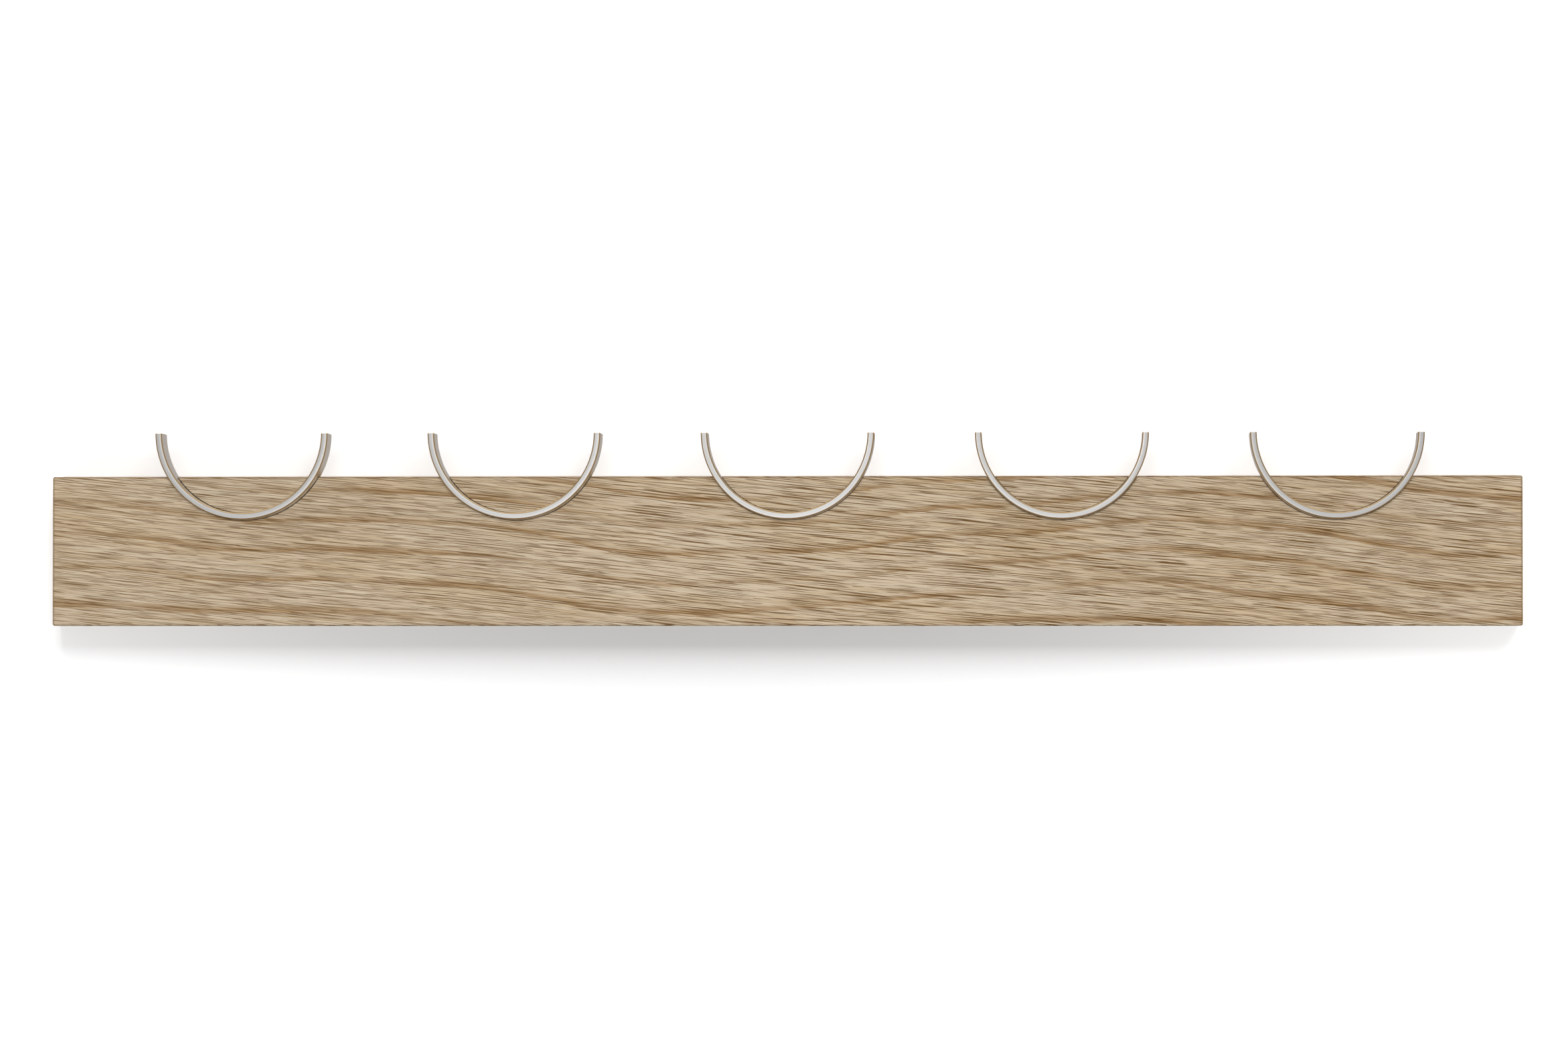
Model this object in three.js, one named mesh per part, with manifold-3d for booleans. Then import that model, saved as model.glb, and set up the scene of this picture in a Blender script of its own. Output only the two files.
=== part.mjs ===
// A wall hook rack: an oak board with a row of half-ring steel hooks let into its front,
// hung on the wall from two keyhole plates let into its back.
//
// Millimetres, +Z up. X runs along the board, the front faces -Y, and the origin is the
// centre of the board's back face, which lies against the wall.

import * as THREE from 'three';
import { mergeVertices } from 'three/addons/utils/BufferGeometryUtils.js';
import Module from 'manifold-3d';

const wasm = await Module();
wasm.setup();

// ---------------------------------------------------------------- driving dimensions

// The board
const BOARD_LENGTH = 600;
const BOARD_HEIGHT = 61;
const BOARD_THICKNESS = 20;
const BOARD_EASE = 0.5; // chamfer round the front and the back face
const BOARD_CORNER = 0.5; // cut across the four corners, seen from the front

// The hooks: half rings of flat strip, open side up
const HOOK_COUNT = 5;
const HOOK_OUTER_RADIUS = 35.3;
const STRIP_THICKNESS = 2.7;
const STRIP_DEPTH = 15; // front to back
const STRIP_EASE = 0.4; // chamfer along the strip's edges
const HOOK_SEAT_DEPTH = 6.5; // how far the strip is let into the board
const HOOK_CENTRE_RISE = 17.6; // from the board's top edge up to the rings' centres
const ROW_END_MARGIN = 77; // from the board's ends to the outer hooks' centres
const ROW_SHIFT = 1.7; // the whole row sits this far right of the board's middle

// The keyhole hanger plates
const PLATE_HEIGHT = 42;
const PLATE_WIDTH = 16;
const PLATE_THICKNESS = 2;
const KEYHOLE_HEAD_RADIUS = 4.75; // the round hole that a wall screw's head passes
const KEYHOLE_SLOT_WIDTH = 5.2;
const KEYHOLE_TRAVEL = 9; // from the round hole's centre up to the slot's end centre
const KEYHOLE_HEAD_DROP = 4.5; // the round hole's centre, below the plate's middle
const HEAD_POCKET_DEPTH = 6; // room in the wood behind the plate for the head
const HEAD_POCKET_MARGIN = 1.2; // the pocket is this much wider than the round hole

// The wood screws that hold the plates
const SCREW_SPACING = 34; // between the two screws of a plate
const SCREW_LENGTH = 12;
const SCREW_SHANK_RADIUS = 1.4;
const SCREW_HEAD_RADIUS = 2.8;
const SCREW_TIP_LENGTH = 2.6;
const SCREW_HEAD_RIM = 0.25; // straight edge round the countersunk head
const DRIVE_SPAN = 3; // the cross recess, tip to tip
const DRIVE_WIDTH = 0.8;
const DRIVE_DEPTH = 0.9;

// Fits
const GLUE_GAP = 0.3; // all round a hook in its groove
const PLATE_GAP = 0.3; // all round a plate in its recess
const SCREW_GAP = 0.3; // all round a screw in plate and board

// Fineness of round stretches
const STEPS_HALF_RING = 48;
const STEPS_SMALL_ARC = 14; // per half turn
const STEPS_TURN = 28; // per full turn of a small hole or screw

// A cutter reaches this far past the face that it opens
const OVERCUT = 5;

// ---------------------------------------------------------------- places

const hookPitch = (BOARD_LENGTH - 2 * ROW_END_MARGIN) / (HOOK_COUNT - 1);
const hookCentreZ = BOARD_HEIGHT / 2 + HOOK_CENTRE_RISE;
const hookBackY = -BOARD_THICKNESS + HOOK_SEAT_DEPTH;

// Each plate hangs behind the middle of the gap between an outer hook and its neighbour
const plateX = hookPitch * (HOOK_COUNT / 2 - 1);

// The countersunk heads are cones of 90 degrees
const screwConeHeight = SCREW_HEAD_RADIUS - SCREW_SHANK_RADIUS;

// ---------------------------------------------------------------- materials

const OAK = { color: 0xc2a67c, roughness: 0.7, metalness: 0 };
const STEEL = { color: 0xb9b6b1, roughness: 0.35, metalness: 1 };
const ZINC = { color: 0xc9ccd0, roughness: 0.4, metalness: 1 };

// ---------------------------------------------------------------- outlines
// Outlines are drawn in X and Z as seen from the front, anticlockwise.

function arc(centreX, centreZ, radius, fromAngle, toAngle, steps) {
  const points = [];
  for (let i = 0; i <= steps; i++) {
    const angle = fromAngle + ((toAngle - fromAngle) * i) / steps;
    points.push(new THREE.Vector2(centreX + radius * Math.cos(angle), centreZ + radius * Math.sin(angle)));
  }
  return points;
}

function boardOutline() {
  const x = BOARD_LENGTH / 2;
  const z = BOARD_HEIGHT / 2;
  const cut = BOARD_CORNER;
  return [
    new THREE.Vector2(-x + cut, -z),
    new THREE.Vector2(x - cut, -z),
    new THREE.Vector2(x, -z + cut),
    new THREE.Vector2(x, z - cut),
    new THREE.Vector2(x - cut, z),
    new THREE.Vector2(-x + cut, z),
    new THREE.Vector2(-x, z - cut),
    new THREE.Vector2(-x, -z + cut),
  ];
}

// The lower half of a ring round the origin, grown all round by gap
function halfRingOutline(gap) {
  const outer = HOOK_OUTER_RADIUS + gap;
  const inner = HOOK_OUTER_RADIUS - STRIP_THICKNESS - gap;
  return [
    ...arc(0, 0, outer, Math.PI, 2 * Math.PI, STEPS_HALF_RING),
    ...arc(0, 0, inner, 2 * Math.PI, Math.PI, STEPS_HALF_RING),
  ];
}

// An upright slot with round ends, from the lower end's centre to the upper end's
function slotOutline(lowZ, highZ, radius) {
  return [
    ...arc(0, highZ, radius, 0, Math.PI, STEPS_SMALL_ARC),
    ...arc(0, lowZ, radius, Math.PI, 2 * Math.PI, STEPS_SMALL_ARC),
  ];
}

function plateOutline(gap) {
  const end = (PLATE_HEIGHT - PLATE_WIDTH) / 2;
  return slotOutline(-end, end, PLATE_WIDTH / 2 + gap);
}

// A round hole with a narrower slot running up out of it
function keyholeOutline() {
  const half = KEYHOLE_SLOT_WIDTH / 2;
  const low = -KEYHOLE_HEAD_DROP;
  const mouth = Math.acos(half / KEYHOLE_HEAD_RADIUS);
  return [
    ...arc(0, low + KEYHOLE_TRAVEL, half, 0, Math.PI, STEPS_SMALL_ARC),
    ...arc(0, low, KEYHOLE_HEAD_RADIUS, Math.PI - mouth, 2 * Math.PI + mouth, 2 * STEPS_SMALL_ARC),
  ];
}

// ---------------------------------------------------------------- solids

// Extrudes an outline from backY towards the front, with the same chamfer at both faces
function prism(outline, backY, depth, ease = 0) {
  const geometry = new THREE.ExtrudeGeometry(new THREE.Shape(outline), {
    depth: depth - 2 * ease,
    bevelEnabled: ease > 0,
    bevelThickness: ease,
    bevelSize: ease,
    bevelOffset: -ease,
    bevelSegments: 1,
    curveSegments: 1,
  });
  geometry.translate(0, 0, ease);
  geometry.rotateX(Math.PI / 2);
  geometry.translate(0, backY, 0);
  return geometry;
}

function toSolid(geometry) {
  const bare = geometry.clone();
  bare.deleteAttribute('normal');
  bare.deleteAttribute('uv');
  const merged = mergeVertices(bare, 1e-4);
  const mesh = new wasm.Mesh({
    numProp: 3,
    vertProperties: new Float32Array(merged.attributes.position.array),
    triVerts: new Uint32Array(merged.index.array),
  });
  return new wasm.Manifold(mesh);
}

function toGeometry(solid) {
  const mesh = solid.getMesh();
  const geometry = new THREE.BufferGeometry();
  geometry.setAttribute('position', new THREE.BufferAttribute(mesh.vertProperties, 3));
  geometry.setIndex(new THREE.BufferAttribute(mesh.triVerts, 1));
  geometry.computeVertexNormals();
  return geometry;
}

// Turns a profile of [radius, y] pairs, listed from the front to the back, round the Y axis
function turned(profile) {
  const points = profile.map(([radius, y]) => new THREE.Vector2(radius, y));
  return new THREE.LatheGeometry(points, STEPS_TURN);
}

// A countersunk screw with its head at Y = 0 and its tip to the front
function screwProfile() {
  return [
    [0, -SCREW_LENGTH],
    [SCREW_SHANK_RADIUS, -SCREW_LENGTH + SCREW_TIP_LENGTH],
    [SCREW_SHANK_RADIUS, -SCREW_HEAD_RIM - screwConeHeight],
    [SCREW_HEAD_RADIUS, -SCREW_HEAD_RIM],
    [SCREW_HEAD_RADIUS, 0],
    [0, 0],
  ];
}

// The hole for one screw: a flat-ended pilot hole with a countersink that is open to the back
function screwHoleProfile() {
  const shank = SCREW_SHANK_RADIUS + SCREW_GAP;
  const head = SCREW_HEAD_RADIUS + SCREW_GAP;
  return [
    [0, -SCREW_LENGTH - SCREW_GAP],
    [shank, -SCREW_LENGTH - SCREW_GAP],
    [shank, -SCREW_HEAD_RIM - screwConeHeight - SCREW_GAP],
    [head, -SCREW_HEAD_RIM - SCREW_GAP],
    [head, OVERCUT],
    [0, OVERCUT],
  ];
}

function screwSolid() {
  const recess = [new THREE.BoxGeometry(DRIVE_SPAN, 2 * DRIVE_DEPTH, DRIVE_WIDTH)];
  recess.push(recess[0].clone().rotateY(Math.PI / 2));
  let solid = toSolid(turned(screwProfile()));
  for (const bar of recess) {
    solid = solid.subtract(toSolid(bar));
  }
  return solid;
}

function plateSolid() {
  const keyhole = toSolid(prism(keyholeOutline(), OVERCUT, PLATE_THICKNESS + 2 * OVERCUT));
  let solid = toSolid(prism(plateOutline(0), 0, PLATE_THICKNESS)).subtract(keyhole);
  for (const z of [-SCREW_SPACING / 2, SCREW_SPACING / 2]) {
    solid = solid.subtract(toSolid(turned(screwHoleProfile())).translate([0, 0, z]));
  }
  return solid;
}

// Everything that one hanger takes out of the board's back
function hangerCutters() {
  const pocketRadius = KEYHOLE_HEAD_RADIUS + HEAD_POCKET_MARGIN;
  const pocketLow = -KEYHOLE_HEAD_DROP;
  const pocketOutline = slotOutline(pocketLow, pocketLow + KEYHOLE_TRAVEL, pocketRadius);
  const recessDepth = PLATE_THICKNESS + PLATE_GAP;
  const cutters = [
    toSolid(prism(plateOutline(PLATE_GAP), OVERCUT, recessDepth + OVERCUT)),
    toSolid(prism(pocketOutline, OVERCUT, recessDepth + HEAD_POCKET_DEPTH + OVERCUT)),
  ];
  for (const z of [-SCREW_SPACING / 2, SCREW_SPACING / 2]) {
    cutters.push(toSolid(turned(screwHoleProfile())).translate([0, 0, z]));
  }
  return cutters;
}

function boardSolid(hookXs, plateXs) {
  let solid = toSolid(prism(boardOutline(), 0, BOARD_THICKNESS, BOARD_EASE));
  const groove = toSolid(prism(halfRingOutline(GLUE_GAP), hookBackY + GLUE_GAP, STRIP_DEPTH + OVERCUT));
  for (const x of hookXs) {
    solid = solid.subtract(groove.translate([x, 0, hookCentreZ]));
  }
  for (const x of plateXs) {
    for (const cutter of hangerCutters()) {
      solid = solid.subtract(cutter.translate([x, 0, 0]));
    }
  }
  return solid;
}

// ---------------------------------------------------------------- assembly

const rack = new THREE.Group();

function addPiece(name, geometry, finish, x, y, z) {
  const mesh = new THREE.Mesh(geometry, new THREE.MeshStandardMaterial(finish));
  mesh.name = name;
  mesh.position.set(x, y, z);
  rack.add(mesh);
}

const hookXs = Array.from({ length: HOOK_COUNT }, (_, i) => ROW_SHIFT + hookPitch * (i - (HOOK_COUNT - 1) / 2));

addPiece('oak_board', toGeometry(boardSolid(hookXs, [-plateX, plateX])), OAK, 0, 0, 0);

const hookGeometry = prism(halfRingOutline(0), 0, STRIP_DEPTH, STRIP_EASE);
hookXs.forEach((x, i) => {
  addPiece(`hook_${i + 1}`, hookGeometry, STEEL, x, hookBackY, hookCentreZ);
});

const plateGeometry = toGeometry(plateSolid());
const screwGeometry = toGeometry(screwSolid());
for (const [side, x] of [['left', -plateX], ['right', plateX]]) {
  addPiece(`hanger_${side}`, plateGeometry, ZINC, x, 0, 0);
  addPiece(`hanger_${side}_screw_upper`, screwGeometry, ZINC, x, 0, SCREW_SPACING / 2);
  addPiece(`hanger_${side}_screw_lower`, screwGeometry, ZINC, x, 0, -SCREW_SPACING / 2);
}

export default rack;
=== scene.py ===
"""The looks of the wall hook rack: oiled oak, satin steel half rings and zinc hangers.

Metres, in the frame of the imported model: X along the board, +Z up, the front faces -Y and
the wall is at Y = 0.
"""

import math

import bmesh
import bpy
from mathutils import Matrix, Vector


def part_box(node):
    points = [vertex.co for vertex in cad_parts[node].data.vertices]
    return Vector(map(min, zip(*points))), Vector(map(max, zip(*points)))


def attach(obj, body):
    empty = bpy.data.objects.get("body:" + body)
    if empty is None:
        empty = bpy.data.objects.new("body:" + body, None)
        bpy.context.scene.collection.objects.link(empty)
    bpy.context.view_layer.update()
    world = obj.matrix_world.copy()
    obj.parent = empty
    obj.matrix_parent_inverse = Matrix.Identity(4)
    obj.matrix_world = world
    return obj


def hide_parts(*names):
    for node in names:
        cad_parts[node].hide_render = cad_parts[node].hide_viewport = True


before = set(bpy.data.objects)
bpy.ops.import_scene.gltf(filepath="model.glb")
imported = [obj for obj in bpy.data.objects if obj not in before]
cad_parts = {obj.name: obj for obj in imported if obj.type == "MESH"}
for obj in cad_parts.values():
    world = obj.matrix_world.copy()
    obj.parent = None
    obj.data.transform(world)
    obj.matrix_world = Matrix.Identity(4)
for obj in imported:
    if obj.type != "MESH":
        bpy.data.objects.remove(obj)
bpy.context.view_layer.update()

# ---------------------------------------------------------------- sizes

MM = 0.001
HOOKS = sorted(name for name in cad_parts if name.startswith("hook_"))
HANGERS = sorted(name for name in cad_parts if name.startswith("hanger_") and "screw" not in name)
SCREWS = sorted(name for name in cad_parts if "screw" in name)

STRIP_ARRIS = 0.42 * MM  # rounding along the strip's edges
STRIP_CROWN = 0.025 * MM  # the narrow edge faces bulge by this much
ARC_STEPS = 144
ARRIS_STEPS = 5
END_PHASE = 0.35  # of a step, from the bar's straight edge to the first station of its rounded end
END_ARRIS_LOSS = 0.9  # of a station's inset, taken off the arris there
END_EDGE_RISE = 2.0  # how fast the edge weight rises over the rounded end

# Points along a face, from one arris to the next: (share of the way, edge weight)
NARROW_FACE = ((0.12, 0.45), (0.3, 0.15), (0.5, 0.0), (0.7, 0.15), (0.88, 0.45))
WIDE_FACE = ((0.02, 0.45), (0.07, 0.0), (0.93, 0.0), (0.98, 0.45))

WELD_DISTANCE = 0.002 * MM
FLAT_WITHIN = math.radians(1.0)  # facets that meet closer to flat than this are merged
EASE_SEGMENTS = 2
BOARD_EASE = 0.16 * MM
BOARD_CREASE = math.radians(25.0)  # edges sharper than this are rounded
FITTING_EASE = 0.12 * MM
FITTING_CREASE = math.radians(30.0)

board_low, board_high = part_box("oak_board")
board_front = board_low.y


# ---------------------------------------------------------------- node helpers

class Nodes:
    """Short calls for building one material's node tree."""

    def __init__(self, name):
        self.material = bpy.data.materials.new(name)
        self.material.use_nodes = True
        self.tree = self.material.node_tree
        self.shader = self.tree.nodes["Principled BSDF"]

    def add(self, kind, **settings):
        node = self.tree.nodes.new(kind)
        for key, value in settings.items():
            setattr(node, key, value)
        return node

    def put(self, socket, value):
        """Links a node's output to a socket, or sets the socket's own value."""
        if isinstance(value, bpy.types.NodeSocket):
            self.tree.links.new(value, socket)
        else:
            socket.default_value = value

    def math(self, operation, *values):
        node = self.add("ShaderNodeMath", operation=operation)
        for socket, value in zip(node.inputs, values):
            self.put(socket, value)
        return node.outputs[0]

    def vector(self, x, y, z):
        node = self.add("ShaderNodeCombineXYZ")
        for socket, value in zip(node.inputs, (x, y, z)):
            self.put(socket, value)
        return node.outputs[0]

    def noise(self, vector, scale=1.0, detail=2.0, roughness=0.5):
        node = self.add("ShaderNodeTexNoise")
        self.put(node.inputs["Vector"], vector)
        node.inputs["Scale"].default_value = scale
        node.inputs["Detail"].default_value = detail
        node.inputs["Roughness"].default_value = roughness
        return node.outputs["Fac"]

    def ramp(self, value, low, high, out_low=0.0, out_high=1.0):
        """Maps low..high smoothly onto out_low..out_high."""
        node = self.add("ShaderNodeMapRange", interpolation_type="SMOOTHSTEP")
        for socket, number in zip(node.inputs, (value, low, high, out_low, out_high)):
            self.put(socket, number)
        return node.outputs["Result"]

    def mix(self, factor, a, b):
        node = self.add("ShaderNodeMix", data_type="RGBA")
        self.put(node.inputs["Factor"], factor)
        self.put(node.inputs["A"], a)
        self.put(node.inputs["B"], b)
        return node.outputs["Result"]

    def bump(self, height, distance, strength):
        node = self.add("ShaderNodeBump")
        self.put(node.inputs["Height"], height)
        node.inputs["Distance"].default_value = distance
        node.inputs["Strength"].default_value = strength
        return node.outputs["Normal"]


def srgb(red, green, blue):
    """A colour given in 0 to 255 screen values, as linear light."""
    linear = []
    for channel in (red, green, blue):
        share = channel / 255
        linear.append(((share + 0.055) / 1.055) ** 2.4 if channel > 10 else share / 12.92)
    return (*linear, 1.0)


# ---------------------------------------------------------------- materials

OAK_PALE = srgb(202, 183, 156)
OAK_WARM = srgb(196, 173, 141)
OAK_RAY = srgb(214, 200, 178)
OAK_BAND = srgb(156, 121, 76)
OAK_PORE = srgb(108, 79, 43)

FIBRE_SLOPE = 0.085  # the fibres drop this much to the right
PITH_BELOW = 96.0  # millimetres from the board's middle to the heart of the tree
PITH_BEHIND = 40.0
RING_WIDTH = 11.0
RING_TILT = 0.03  # the rings rise this much to the right
TRUNK_PLACE = 400.0  # where along the trunk the board was cut
ROW_STAGGER = 0.382  # of a noise cell, from one row to the next

# Noise layers of the wood: features per millimetre, along and across the fibres
SWAY_GRAIN = (0.0042, 0.006)
DRIFT_GRAIN = (0.005, 0.01)
RAGGED_GRAIN = (0.034, 1.2)
PATCHY_GRAIN = (0.012, 0.09)
LONG_PORE_GRAIN = (0.045, 2.5)
SHORT_PORE_GRAIN = (0.11, 2.9)
LIGHT_LINE_GRAIN = (0.022, 2.1)
FINE_GRAIN = (0.05, 2.5)
CLOUD_GRAIN = (0.012, 0.07)

# How far three of them push the figure about, in millimetres
SWAY_REACH = 58.0
DRIFT_REACH = 7.0
RAGGED_REACH = 4.6

# The values between which a layer sets in or dies away
EARLY_RISE = (0.0, 0.06)
EARLY_FALL = (0.08, 0.3)
PATCHY_RANGE = (0.36, 0.6)
PORE_RANGE = (0.59, 0.67)
OPEN_RIGHT_RANGE = (-260.0, 120.0)
LIGHT_LINE_RANGE = (0.46, 0.62)
FINE_RANGE = (0.48, 0.64)
CLOUD_RANGE = (0.3, 0.7)
# The next range places the painted shade line along the board's ends and top edge
EDGE_SHADE_RANGE = (-1.0, -0.3)  # millimetres from the board's outline

# How strongly each layer shows
PATCHY_LEAST = 0.4
OPEN_LEFT = 0.75
POROUS_CROWD = 0.03
LIGHT_LINE_STRENGTH = 0.55
BAND_STRENGTH = 0.74
FINE_STRENGTH = 0.48
SHORT_PORE_STRENGTH = 0.65
# How dark the painted shade line along the board's ends and top edge gets
EDGE_SHADE_STRENGTH = 0.6

OAK_ROUGH_DARK = 0.66
OAK_ROUGH_LIGHT = 0.5
OAK_SPECULAR = 0.3
OAK_BUMP = 0.05 * MM
OAK_BUMP_STRENGTH = 0.5
FINE_BUMP_SHARE = 0.5


def oak():
    """Light oiled oak, grain along X: growth rings with ragged brown early wood, long thin open pores."""
    n = Nodes("oak")
    place = n.add("ShaderNodeTexCoord").outputs["Object"]
    millimetres = n.add("ShaderNodeVectorMath", operation="SCALE")
    n.put(millimetres.inputs[0], place)
    millimetres.inputs["Scale"].default_value = 1 / MM
    split = n.add("ShaderNodeSeparateXYZ")
    n.put(split.inputs[0], millimetres.outputs[0])
    x, y, z = split.outputs

    def grain(along, across, height=z, **settings):
        """Noise stretched along the fibres; along and across are in features per millimetre."""
        # Each row of noise cells is shifted along, so that their ends don't line up across the board.
        shifted = n.math("MULTIPLY_ADD", height, across * ROW_STAGGER, n.math("MULTIPLY", x, along))
        return n.noise(n.vector(shifted, n.math("MULTIPLY", y, across), n.math("MULTIPLY", height, across)),
                       **settings)

    def centred(value, reach):
        return n.math("MULTIPLY", n.math("SUBTRACT", value, 0.5), reach)

    drift = centred(grain(*DRIFT_GRAIN, detail=1.0), DRIFT_REACH)
    fibre_z = n.math("ADD", n.math("MULTIPLY_ADD", x, FIBRE_SLOPE, z), drift)

    # Growth rings round a heart below and behind the board, which wanders along the trunk
    sway_along, sway_across = SWAY_GRAIN
    trunk_x = n.math("MULTIPLY", n.math("ADD", x, TRUNK_PLACE), sway_along)
    trunk_y = n.math("MULTIPLY", y, sway_across)
    trunk_z = n.math("MULTIPLY", z, sway_across)
    sway = centred(n.noise(n.vector(trunk_x, trunk_y, trunk_z), roughness=0.4), SWAY_REACH)
    ring_z = n.math("ADD", n.math("MULTIPLY_ADD", x, RING_TILT, z), n.math("ADD", sway, PITH_BELOW))
    ring_y = n.math("SUBTRACT", y, PITH_BEHIND)
    squares = n.math("ADD", n.math("MULTIPLY", ring_z, ring_z), n.math("MULTIPLY", ring_y, ring_y))
    radius = n.math("SQRT", squares)
    ragged = centred(grain(*RAGGED_GRAIN, fibre_z, detail=3.0, roughness=0.6), RAGGED_REACH)
    ring = n.math("FRACT", n.math("MULTIPLY", n.math("ADD", radius, ragged), 1 / RING_WIDTH))
    early = n.math("MULTIPLY", n.ramp(ring, *EARLY_RISE), n.ramp(ring, *EARLY_FALL, 1.0, 0.0))
    patchy = n.ramp(grain(*PATCHY_GRAIN, fibre_z, detail=2.0), *PATCHY_RANGE, PATCHY_LEAST, 1.0)
    band = n.math("MULTIPLY", early, patchy)

    # Pores: long thin dashes along the fibres, darker towards the right and crowded in the early wood
    crowd = n.math("MULTIPLY", band, POROUS_CROWD)
    long_pores = n.ramp(n.math("ADD", grain(*LONG_PORE_GRAIN, fibre_z, detail=0.0), crowd), *PORE_RANGE)
    short_pores = n.ramp(n.math("ADD", grain(*SHORT_PORE_GRAIN, fibre_z, detail=0.0), crowd), *PORE_RANGE)
    open_right = n.ramp(x, *OPEN_RIGHT_RANGE, OPEN_LEFT, 1.0)
    light_lines = n.ramp(grain(*LIGHT_LINE_GRAIN, fibre_z, detail=0.0), *LIGHT_LINE_RANGE)
    fine = grain(*FINE_GRAIN, fibre_z, detail=0.0)
    cloud = grain(*CLOUD_GRAIN, fibre_z, detail=2.0)

    colour = n.mix(n.ramp(cloud, *CLOUD_RANGE), OAK_PALE, OAK_WARM)
    colour = n.mix(n.math("MULTIPLY", light_lines, LIGHT_LINE_STRENGTH), colour, OAK_RAY)
    colour = n.mix(n.math("MULTIPLY", band, BAND_STRENGTH), colour, OAK_BAND)
    colour = n.mix(n.ramp(fine, *FINE_RANGE, 0.0, FINE_STRENGTH), colour, OAK_PORE)
    colour = n.mix(n.math("MULTIPLY", short_pores, SHORT_PORE_STRENGTH), colour, OAK_PORE)
    colour = n.mix(n.math("MULTIPLY", long_pores, open_right), colour, OAK_PORE)

    # Painted shade: a dark line along the board's ends and top edge, mixed toward the pore colour
    edge_shade_x = n.ramp(n.math("ABSOLUTE", x), *(board_high.x / MM + away for away in EDGE_SHADE_RANGE))
    edge_shade_z = n.ramp(z, *(board_high.z / MM + away for away in EDGE_SHADE_RANGE))
    arris = n.math("MULTIPLY", n.math("MAXIMUM", edge_shade_x, edge_shade_z), EDGE_SHADE_STRENGTH)
    n.put(n.shader.inputs["Base Color"], n.mix(arris, colour, OAK_PORE))

    n.put(n.shader.inputs["Roughness"], n.ramp(light_lines, 0.0, 1.0, OAK_ROUGH_DARK, OAK_ROUGH_LIGHT))
    n.shader.inputs["Specular IOR Level"].default_value = OAK_SPECULAR
    relief = n.math("ADD", long_pores, n.math("MULTIPLY", fine, FINE_BUMP_SHARE))
    n.put(n.shader.inputs["Normal"], n.bump(n.math("MULTIPLY", relief, -1.0), OAK_BUMP, OAK_BUMP_STRENGTH))
    return n.material


STEEL_DULL = srgb(212, 211, 209)
STEEL_BRIGHT = srgb(240, 239, 237)
# Painted reflection: the warm brown that the arrises take, standing in for the wood and dark surroundings
# mirrored there
PAINTED_ARRIS_REFLECTION = srgb(208, 180, 140)

# Noise of the drawn steel: features per metre, along and across the strip
STEEL_LINES = (12.0, 3200.0)
STEEL_PATCHES = (14.0, 1800.0)
LINES_SHARE = 0.6
PATCHES_SHARE = 0.4
MOTTLE_RANGE = (0.36, 0.64)
MOTTLE_STRENGTH = 0.45

# Edge weights between which the strip takes its painted highlight, and then the painted warm reflection on
# the arris
PAINTED_HIGHLIGHT_RANGE = (0.1, 0.45)
PAINTED_REFLECTION_RANGE = (0.6, 0.95)

PATCHES_RANGE = (0.3, 0.7)
STEEL_ROUGH = (0.27, 0.34)
STEEL_BUMP = 0.003 * MM
STEEL_BUMP_STRENGTH = 0.3


def steel():
    """Satin steel strip: drawn lines along its length, a painted highlight beside the arrises and a painted
    warm reflection on them.
    """
    n = Nodes("steel")
    run = n.add("ShaderNodeUVMap", uv_map="strip").outputs[0]
    split = n.add("ShaderNodeSeparateXYZ")
    n.put(split.inputs[0], run)
    along, across, _ = split.outputs

    def drawn(features):
        """Noise drawn out along the strip."""
        place = n.vector(n.math("MULTIPLY", along, features[0]), n.math("MULTIPLY", across, features[1]), 0.0)
        return n.noise(place, detail=1.0)

    lines = drawn(STEEL_LINES)
    patches = drawn(STEEL_PATCHES)
    edge = n.add("ShaderNodeAttribute", attribute_name="edge").outputs["Fac"]

    both = n.math("MULTIPLY_ADD", lines, LINES_SHARE, n.math("MULTIPLY", patches, PATCHES_SHARE))
    mottle = n.ramp(both, *MOTTLE_RANGE, 0.0, MOTTLE_STRENGTH)
    # Painted highlight: the strip turns brighter beside its arrises
    painted_highlight = n.ramp(edge, *PAINTED_HIGHLIGHT_RANGE)
    colour = n.mix(n.math("MAXIMUM", n.math("SUBTRACT", 1.0, mottle), painted_highlight), STEEL_DULL, STEEL_BRIGHT)
    # Painted reflection: the arrises are tinted warm brown
    colour = n.mix(n.ramp(edge, *PAINTED_REFLECTION_RANGE), colour, PAINTED_ARRIS_REFLECTION)
    n.put(n.shader.inputs["Base Color"], colour)
    n.shader.inputs["Metallic"].default_value = 1.0
    n.put(n.shader.inputs["Roughness"], n.ramp(patches, *PATCHES_RANGE, *STEEL_ROUGH))
    n.put(n.shader.inputs["Normal"], n.bump(lines, STEEL_BUMP, STEEL_BUMP_STRENGTH))
    return n.material


ZINC_PALE = srgb(232, 234, 236)
ZINC_GREY = srgb(204, 208, 213)
BLOTCH_SCALE = 420.0  # features per metre
GRIT_SCALE = 2600.0
BLOTCH_TONE_RANGE = (0.35, 0.65)
BLOTCH_ROUGH_RANGE = (0.3, 0.7)
ZINC_ROUGH = (0.26, 0.42)
ZINC_BUMP = 0.02 * MM
ZINC_BUMP_STRENGTH = 0.3


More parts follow.
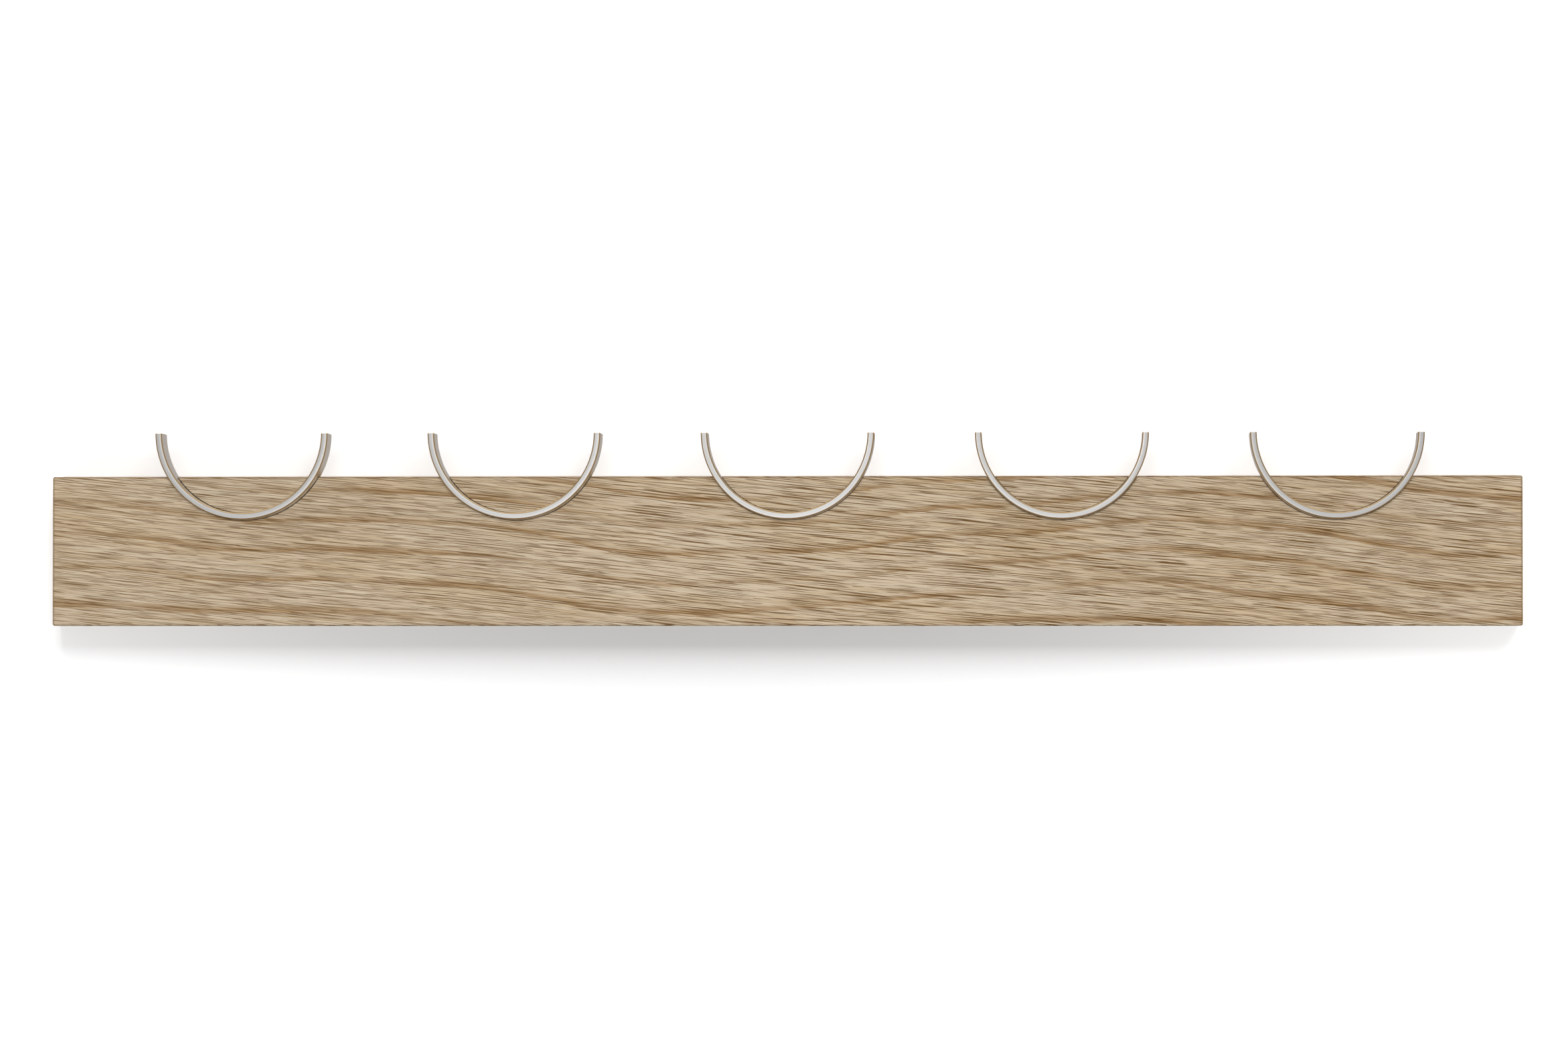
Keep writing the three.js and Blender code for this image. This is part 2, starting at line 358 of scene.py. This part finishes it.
def zinc():
    """Bright zinc plate: faint blotches and a fine grit."""
    n = Nodes("zinc")
    place = n.add("ShaderNodeTexCoord").outputs["Object"]
    blotch = n.noise(place, scale=BLOTCH_SCALE, detail=4.0, roughness=0.6)
    grit = n.noise(place, scale=GRIT_SCALE)
    colour = n.mix(n.ramp(blotch, *BLOTCH_TONE_RANGE), ZINC_PALE, ZINC_GREY)
    n.put(n.shader.inputs["Base Color"], colour)
    n.shader.inputs["Metallic"].default_value = 1.0
    n.put(n.shader.inputs["Roughness"], n.ramp(blotch, *BLOTCH_ROUGH_RANGE, *ZINC_ROUGH))
    n.put(n.shader.inputs["Normal"], n.bump(grit, ZINC_BUMP, ZINC_BUMP_STRENGTH))
    return n.material


# ---------------------------------------------------------------- shapes

def add_object(name, mesh, material):
    piece = bpy.data.objects.new(name, mesh)
    bpy.context.scene.collection.objects.link(piece)
    mesh.materials.clear()
    mesh.materials.append(material)
    return piece


def finish_piece(piece, node):
    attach(piece, "root")
    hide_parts(node)


def eased_copy(node, name, material, ease, crease):
    """The CAD piece with its facets merged and its sharp edges rounded over."""
    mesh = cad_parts[node].data.copy()
    shape = bmesh.new()
    shape.from_mesh(mesh)
    bmesh.ops.remove_doubles(shape, verts=shape.verts, dist=WELD_DISTANCE)
    bmesh.ops.dissolve_limit(shape, angle_limit=FLAT_WITHIN, verts=shape.verts, edges=shape.edges)
    for face in shape.faces:
        face.smooth = True
    shape.to_mesh(mesh)
    shape.free()
    piece = add_object(name, mesh, material)
    bevel = piece.modifiers.new("ease", "BEVEL")
    bevel.width = ease
    bevel.segments = EASE_SEGMENTS
    bevel.limit_method = "ANGLE"
    bevel.angle_limit = crease
    bevel.harden_normals = True
    # A wall too low for the rounding, as under the countersinks, leaves collapsed faces: weld them away.
    piece.modifiers.new("weld", "WELD").merge_threshold = WELD_DISTANCE
    return piece


def strip_section(half_thickness, half_depth, arris, crown):
    """Outline of the flat strip as (across, depth, edge weight) points: 1 on an arris, 0 out on a face."""
    across_flat = 2 * (half_thickness - arris)
    depth_flat = 2 * (half_depth - arris)
    points = []
    for side, (across, depth, start) in enumerate(((1, -1, -90), (1, 1, 0), (-1, 1, 90), (-1, -1, 180))):
        for step in range(ARRIS_STEPS + 1):
            angle = math.radians(start + 90 * step / ARRIS_STEPS)
            points.append((
                across * (half_thickness - arris) + arris * math.cos(angle),
                depth * (half_depth - arris) + arris * math.sin(angle),
                1.0,
            ))
        if side % 2 == 1:
            # The two narrow faces, at the back and at the front, are crowned.
            for t, weight in NARROW_FACE:
                points.append((
                    across * (half_thickness - arris - across_flat * t),
                    depth * (half_depth + crown * math.sin(math.pi * t)),
                    weight,
                ))
        else:
            for t, weight in WIDE_FACE:
                points.append((
                    across * half_thickness,
                    depth * (half_depth - arris - depth_flat * t),
                    weight,
                ))
    return points


def half_ring(name, node, material):
    """A strip bent to the lower half of a ring, its ends and edges rounded."""
    low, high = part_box(node)
    centre = Vector(((low.x + high.x) / 2, (low.y + high.y) / 2, high.z))
    outer = (high.x - low.x) / 2
    cad_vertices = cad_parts[node].data.vertices
    inner = min(math.hypot(v.co.x - centre.x, v.co.z - centre.z) for v in cad_vertices)
    middle = (outer + inner) / 2
    half_thickness = (outer - inner) / 2
    half_depth = (high.y - low.y) / 2

    # Stations along the arc: (angle, inset), with the ends rounded over by the arris
    ends = []
    for step in range(ARRIS_STEPS):
        turn = math.radians(90 * (step + END_PHASE) / ARRIS_STEPS)
        ends.append((STRIP_ARRIS * (1 - math.sin(turn)) / middle, STRIP_ARRIS * (1 - math.cos(turn))))
    first = [(math.pi + away, inset) for away, inset in reversed(ends)]
    start = math.pi + STRIP_ARRIS / middle
    stop = 2 * math.pi - STRIP_ARRIS / middle
    body = [(start + (stop - start) * i / ARC_STEPS, 0.0) for i in range(ARC_STEPS + 1)]
    last = [(2 * math.pi - away, inset) for away, inset in ends]

    shape = bmesh.new()
    weight = shape.verts.layers.float.new("edge")
    rings = []
    for angle, inset in first + body + last:
        arris = STRIP_ARRIS - END_ARRIS_LOSS * inset
        section = strip_section(half_thickness - inset, half_depth - inset, arris, STRIP_CROWN)
        ring = []
        for across, depth, edge_weight in section:
            radius = middle + across
            vert = shape.verts.new((
                centre.x + radius * math.cos(angle),
                centre.y + depth,
                centre.z + radius * math.sin(angle),
            ))
            vert[weight] = max(edge_weight, min(1.0, inset / STRIP_ARRIS * END_EDGE_RISE))
            ring.append(vert)
        rings.append(ring)

    uv = shape.loops.layers.uv.new("strip")
    perimeter = [0.0]
    section = strip_section(half_thickness, half_depth, STRIP_ARRIS, STRIP_CROWN)
    for a, b in zip(section, section[1:] + section[:1]):
        perimeter.append(perimeter[-1] + math.hypot(b[0] - a[0], b[1] - a[1]))
    angles = [angle for angle, _ in first + body + last]
    count = len(section)
    for i in range(len(rings) - 1):
        for k in range(count):
            following = (k + 1) % count
            here, ahead = rings[i], rings[i + 1]
            face = shape.faces.new((here[k], here[following], ahead[following], ahead[k]))
            face.smooth = True
            places = ((i, k), (i, k + 1), (i + 1, k + 1), (i + 1, k))
            for loop, (station, edge) in zip(face.loops, places):
                loop[uv].uv = (angles[station] * middle, perimeter[edge])
    for ring, station in ((rings[0][::-1], 0), (rings[-1], -1)):
        cap = shape.faces.new(ring)
        for loop in cap.loops:
            loop[uv].uv = (loop.vert.co.x, loop.vert.co.y)
    bmesh.ops.recalc_face_normals(shape, faces=shape.faces)
    mesh = bpy.data.meshes.new(name)
    shape.to_mesh(mesh)
    shape.free()
    piece = add_object(name, mesh, material)
    piece.modifiers.new("flat faces", "WEIGHTED_NORMAL").keep_sharp = True
    return piece


# ---------------------------------------------------------------- the object

board = eased_copy("oak_board", "board", oak(), BOARD_EASE, BOARD_CREASE)
finish_piece(board, "oak_board")

steel_finish = steel()
for node in HOOKS:
    hook = half_ring(node.replace("hook", "half_ring"), node, steel_finish)
    hook.visible_diffuse = False  # the bright steel throws no patches of light on the wood
    finish_piece(hook, node)

zinc_finish = zinc()
for node in HANGERS + SCREWS:
    fitting = eased_copy(node, f"{node}_zinc", zinc_finish, FITTING_EASE, FITTING_CREASE)
    finish_piece(fitting, node)

# ---------------------------------------------------------------- stage

WALL_GAP = 0.3 * MM
FLOOR_DROP = 0.26
STAGE_REACH = 4.0
WALL_REACH = 0.9
STAGE_WHITE = (0.9, 0.9, 0.9, 1.0)
STAGE_ROUGHNESS = 0.9


def plane(name, corners, material):
    mesh = bpy.data.meshes.new(name)
    mesh.from_pydata(corners, [], [range(len(corners))])
    sheet = add_object(name, mesh, material)
    return sheet


def plain_white(name):
    n = Nodes(name)
    n.shader.inputs["Base Color"].default_value = STAGE_WHITE
    n.shader.inputs["Roughness"].default_value = STAGE_ROUGHNESS
    n.shader.inputs["Specular IOR Level"].default_value = 0.0
    return n


def one_sided_wall():
    """Plain matt white in front; clear from behind, so that the back of the rack can be seen."""
    n = plain_white("wall")
    side = n.add("ShaderNodeNewGeometry").outputs["Backfacing"]
    clear = n.add("ShaderNodeBsdfTransparent").outputs[0]
    choose = n.add("ShaderNodeMixShader")
    n.put(choose.inputs[0], side)
    n.put(choose.inputs[1], n.shader.outputs[0])
    n.put(choose.inputs[2], clear)
    n.put(n.tree.nodes["Material Output"].inputs["Surface"], choose.outputs[0])
    return n.material


floor_corners = [
    (-STAGE_REACH, -STAGE_REACH, -FLOOR_DROP),
    (STAGE_REACH, -STAGE_REACH, -FLOOR_DROP),
    (STAGE_REACH, STAGE_REACH, -FLOOR_DROP),
    (-STAGE_REACH, STAGE_REACH, -FLOOR_DROP),
]
wall_corners = [
    (-WALL_REACH, WALL_GAP, -FLOOR_DROP),
    (WALL_REACH, WALL_GAP, -FLOOR_DROP),
    (WALL_REACH, WALL_GAP, WALL_REACH),
    (-WALL_REACH, WALL_GAP, WALL_REACH),
]
floor = plane("floor", floor_corners, plain_white("floor").material)
wall = plane("wall", wall_corners, one_sided_wall())
# The stage is only looked at: it throws no light back onto the rack and isn't mirrored in the steel.
for sheet in (wall, floor):
    sheet.visible_diffuse = False
    sheet.visible_glossy = False
    sheet.visible_transmission = False
    sheet.visible_shadow = False


def softbox(name, place, target, size, power, lit, mirrored=False):
    """A soft lamp that shines on the lit objects only; the rack's pieces shade them, the stage doesn't."""
    data = bpy.data.lights.new(name, "AREA")
    data.shape = "RECTANGLE"
    data.size, data.size_y = size
    data.energy = power
    lamp = bpy.data.objects.new(name, data)
    lamp.location = place
    lamp.rotation_euler = (Vector(target) - Vector(place)).to_track_quat("-Z", "Y").to_euler()
    lamp.visible_camera = False
    lamp.visible_glossy = mirrored
    bpy.context.scene.collection.objects.link(lamp)
    group = bpy.data.collections.new(f"{name}_lights")
    for lit_object in lit:
        group.objects.link(lit_object)
    lamp.light_linking.receiver_collection = group


MIDDLE = (0.0, 0.0, 0.0)
rack = [piece for piece in bpy.context.scene.objects if piece.type == "MESH" and piece not in (wall, floor)]

# The rack: an even front light, a tall panel that the steel mirrors, and lamps level with the wall or
# behind it for the top, the ends and the back. Places and sizes are in metres, powers in watts.
softbox("front_fill", place=(0.1, -3.0, 0.12), target=MIDDLE, size=(0.8, 0.5), power=66.0, lit=rack)
softbox("panel", place=(-0.14, -3.4, 0.05), target=(-0.14, 0.0, 0.05), size=(0.5, 1.6), power=3.2, lit=rack,
        mirrored=True)
softbox("top", place=(0.0, 0.5, 2.0), target=MIDDLE, size=(1.6, 0.8), power=30.0, lit=rack + [floor])
softbox("left_end", place=(-2.2, 0.1, 0.4), target=MIDDLE, size=(0.8, 0.8), power=22.0, lit=rack)
softbox("right_end", place=(2.2, 0.1, 0.4), target=MIDDLE, size=(0.8, 0.8), power=22.0, lit=rack)
softbox("back", place=(-0.8, 2.6, 0.9), target=MIDDLE, size=(1.6, 1.2), power=40.0, lit=rack)

# The wall: one high soft light that the board shades, one level with it, and a low one towards each end
softbox("wall_high", place=(0.4, -1.75, 1.85), target=MIDDLE, size=(2.0, 2.4), power=82.0, lit=[wall])
softbox("wall_level", place=(0.0, -3.0, -0.1), target=(0.0, 0.0, -0.05), size=(1.6, 0.12), power=19.0,
        lit=[wall])
softbox("wall_low_left", place=(-0.48, -0.25, -0.15), target=(-0.3, 0.0, -0.05), size=(0.2, 0.1), power=0.68,
        lit=[wall])
softbox("wall_low_right", place=(0.42, -0.25, -0.15), target=(0.3, 0.0, -0.05), size=(0.2, 0.1), power=0.66,
        lit=[wall])

# What the steel mirrors in each direction
WORLD_FRONT = (0.46, 0.46, 0.46, 1.0)
WORLD_SIDE = (0.34, 0.29, 0.22, 1.0)
WORLD_BACK = (0.48, 0.44, 0.40, 1.0)
WORLD_TOP = (1.5, 1.47, 1.4, 1.0)
WORLD_GROUND = (0.07, 0.035, 0.012, 1.0)
WORLD_SEEN = (1.0, 1.0, 1.0, 1.0)
WORLD_HAZE = (0.24, 0.24, 0.24, 1.0)

# Where one of them gives way to the next, as a direction's depth (-1 in front, 1 behind) or height
SIDE_FROM = (-0.88, -0.55)
BACK_FROM = (0.3, 0.8)
TOP_FROM = (0.6, 0.9)
GROUND_FROM = (-0.45, -0.8)


def studio_world():
    """White to the camera, a dim even haze on matt surfaces, bright above and dark below for the steel."""
    world = bpy.data.worlds.new("studio")
    bpy.context.scene.world = world
    world.use_nodes = True
    tree = world.node_tree
    tree.nodes.clear()

    def ramp(value, low, high):
        node = tree.nodes.new("ShaderNodeMapRange")
        node.interpolation_type = "SMOOTHSTEP"
        tree.links.new(value, node.inputs["Value"])
        node.inputs["From Min"].default_value = low
        node.inputs["From Max"].default_value = high
        return node.outputs["Result"]

    def mix(factor, first, second):
        node = tree.nodes.new("ShaderNodeMix")
        node.data_type = "RGBA"
        tree.links.new(factor, node.inputs["Factor"])
        if isinstance(first, bpy.types.NodeSocket):
            tree.links.new(first, node.inputs["A"])
        else:
            node.inputs["A"].default_value = first
        node.inputs["B"].default_value = second
        return node.outputs["Result"]

    direction = tree.nodes.new("ShaderNodeTexCoord")
    split = tree.nodes.new("ShaderNodeSeparateXYZ")
    tree.links.new(direction.outputs["Generated"], split.inputs[0])
    _, depth, height = split.outputs
    colour = mix(ramp(depth, *SIDE_FROM), WORLD_FRONT, WORLD_SIDE)
    colour = mix(ramp(depth, *BACK_FROM), colour, WORLD_BACK)
    colour = mix(ramp(height, *TOP_FROM), colour, WORLD_TOP)
    colour = mix(ramp(height, *GROUND_FROM), colour, WORLD_GROUND)
    mirrored, seen, haze = (tree.nodes.new("ShaderNodeBackground") for _ in range(3))
    tree.links.new(colour, mirrored.inputs["Color"])
    seen.inputs["Color"].default_value = WORLD_SEEN
    haze.inputs["Color"].default_value = WORLD_HAZE
    rays = tree.nodes.new("ShaderNodeLightPath")
    surface = mirrored.outputs[0]
    for kind, light in (("Is Diffuse Ray", haze), ("Is Camera Ray", seen)):
        choose = tree.nodes.new("ShaderNodeMixShader")
        tree.links.new(rays.outputs[kind], choose.inputs[0])
        tree.links.new(surface, choose.inputs[1])
        tree.links.new(light.outputs[0], choose.inputs[2])
        surface = choose.outputs[0]
    output = tree.nodes.new("ShaderNodeOutputWorld")
    tree.links.new(surface, output.inputs["Surface"])


studio_world()
bpy.context.scene.view_settings.view_transform = "Standard"

# ---------------------------------------------------------------- camera

CAMERA_DISTANCE = 2.5
FRAME_WIDTH = 0.6387  # what the picture spans at the board's front
SENSOR_WIDTH = 36.0
CAMERA_RIGHT = 0.107
CAMERA_HEIGHT = -0.039
AIM_HEIGHT = 0.0116
NEAREST_SEEN = 0.05
FARTHEST_SEEN = 30.0

camera_data = bpy.data.cameras.new("camera")
camera = bpy.data.objects.new("camera", camera_data)
bpy.context.scene.collection.objects.link(camera)
camera_data.sensor_width = SENSOR_WIDTH
camera_data.lens = SENSOR_WIDTH * CAMERA_DISTANCE / FRAME_WIDTH
camera_data.clip_start = NEAREST_SEEN
camera_data.clip_end = FARTHEST_SEEN
camera.location = (CAMERA_RIGHT, board_front - CAMERA_DISTANCE, CAMERA_HEIGHT)
aim = Vector((0.0, board_front, AIM_HEIGHT))
camera.rotation_euler = (aim - camera.location).to_track_quat("-Z", "Y").to_euler()
bpy.context.scene.camera = camera

# ---------------------------------------------------------------- end

bpy.context.view_layer.update()
